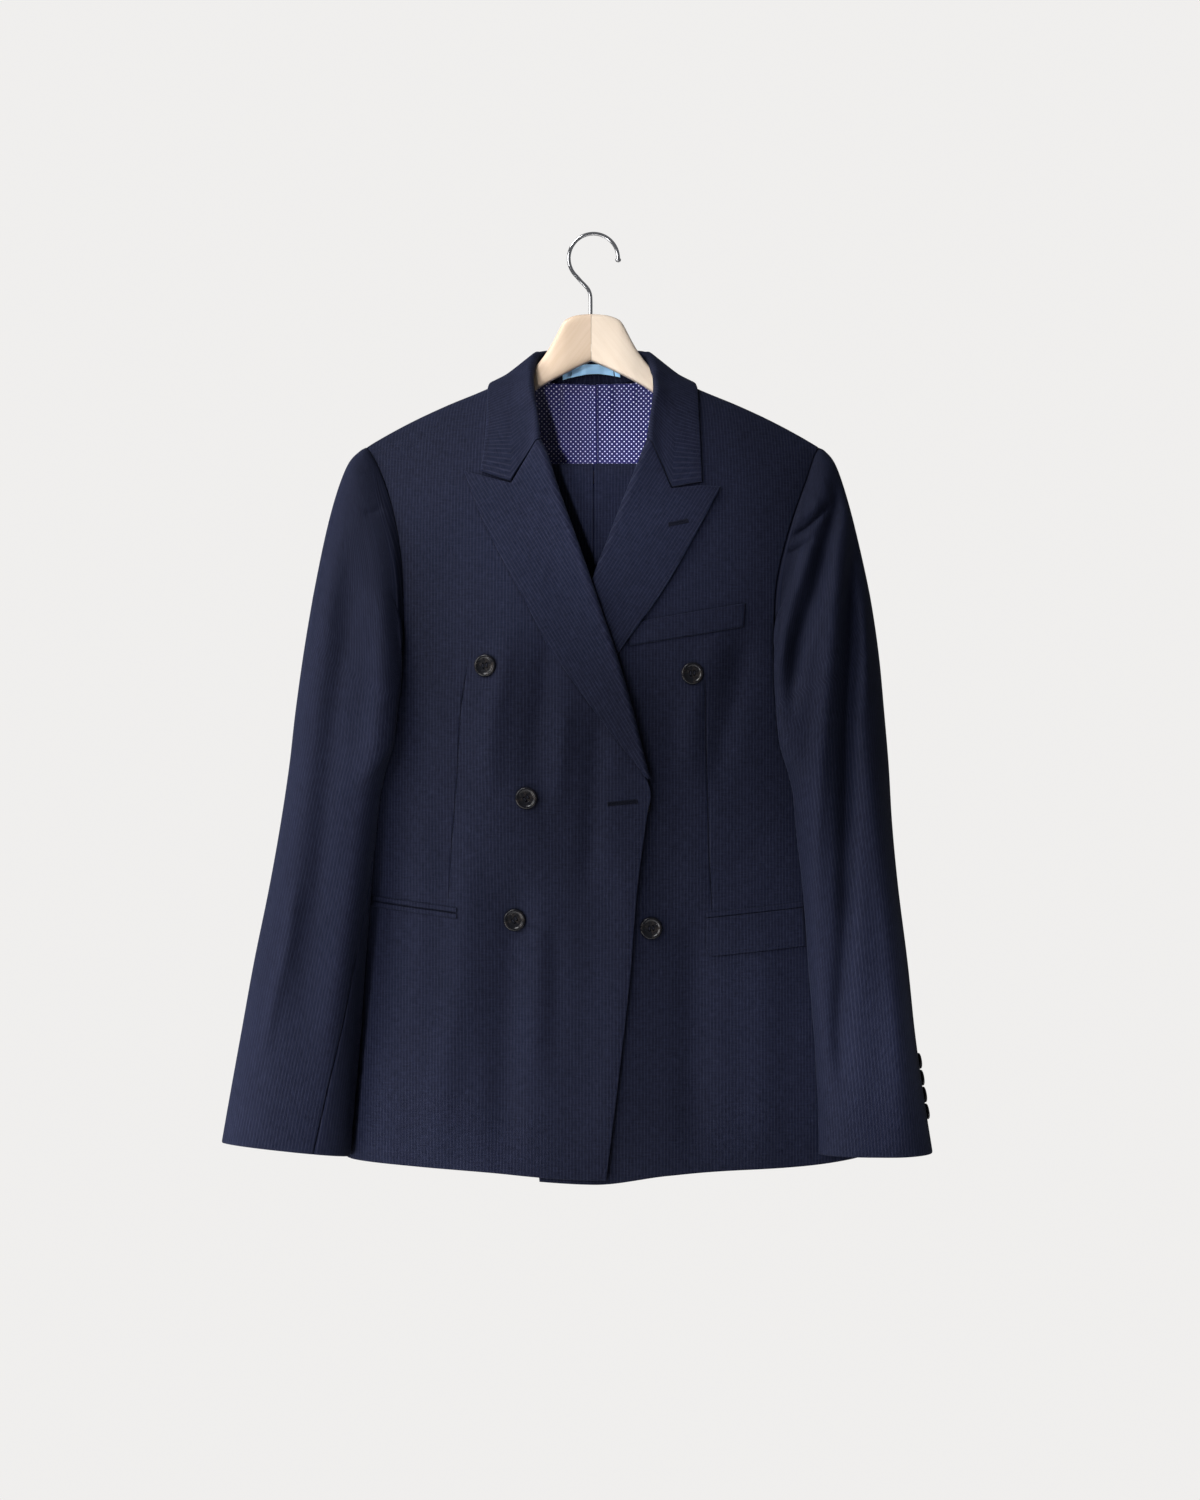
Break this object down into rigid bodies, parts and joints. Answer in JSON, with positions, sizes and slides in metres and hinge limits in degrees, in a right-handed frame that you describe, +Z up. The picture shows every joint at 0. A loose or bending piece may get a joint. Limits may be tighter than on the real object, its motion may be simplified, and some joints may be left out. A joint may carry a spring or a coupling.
{
  "type": "two-piece suit on a wooden hanger",
  "caption": "Double-breasted pinstripe jacket with peak lapels and its trousers folded over the bar of a wooden hanger, hung from the hanger's wire hook.",
  "frame": {"origin": "inside top of the hook, where it rests on a rail", "axes": "+Z up, -Y the front of the jacket, +X towards the wearer's left"},
  "size_m": [0.6671, 0.1509, 0.8958],
  "materials": {
    "suit_cloth": "dark navy worsted wool with a tone-on-tone pinstripe",
    "lining": "satin lining with white dots",
    "label": "woven ribbon, bare",
    "horn": "near-black horn, polished",
    "wood": "pale lacquered wood",
    "chrome": "polished wire"
  },
  "bodies": {
    "root": {"front_right": "suit_cloth", "front_left": "suit_cloth", "side_right": "suit_cloth", "side_left": "suit_cloth", "back_right": "suit_cloth", "back_left": "suit_cloth", "sleeve_right_upper": "suit_cloth", "sleeve_right_under": "suit_cloth", "sleeve_left_upper": "suit_cloth", "sleeve_left_under": "suit_cloth", "collar": "suit_cloth", "lapel_right": "suit_cloth", "lapel_left": "suit_cloth", "breast_welt": "suit_cloth", "pocket_right_jet_upper": "suit_cloth", "pocket_right_jet_lower": "suit_cloth", "pocket_left_jet": "suit_cloth", "pocket_left_flap": "suit_cloth", "leg_right_front": "suit_cloth", "leg_right_back": "suit_cloth", "leg_left_front": "suit_cloth", "leg_left_back": "suit_cloth", "waistband_right": "suit_cloth", "waistband_left": "suit_cloth", "lining_yoke": "lining", "label": "label", "button_right_top": "horn", "button_right_middle": "horn", "button_right_bottom": "horn", "button_left_top": "horn", "button_left_middle": "horn", "button_left_bottom": "horn", "cuff_button_right_1": "horn", "cuff_button_right_2": "horn", "cuff_button_right_3": "horn", "cuff_button_right_4": "horn", "cuff_button_left_1": "horn", "cuff_button_left_2": "horn", "cuff_button_left_3": "horn", "cuff_button_left_4": "horn", "hanger_half_right": "wood", "hanger_half_left": "wood", "hanger_bar": "wood", "hanger_hook": "chrome"}
  },
  "joints": []
}
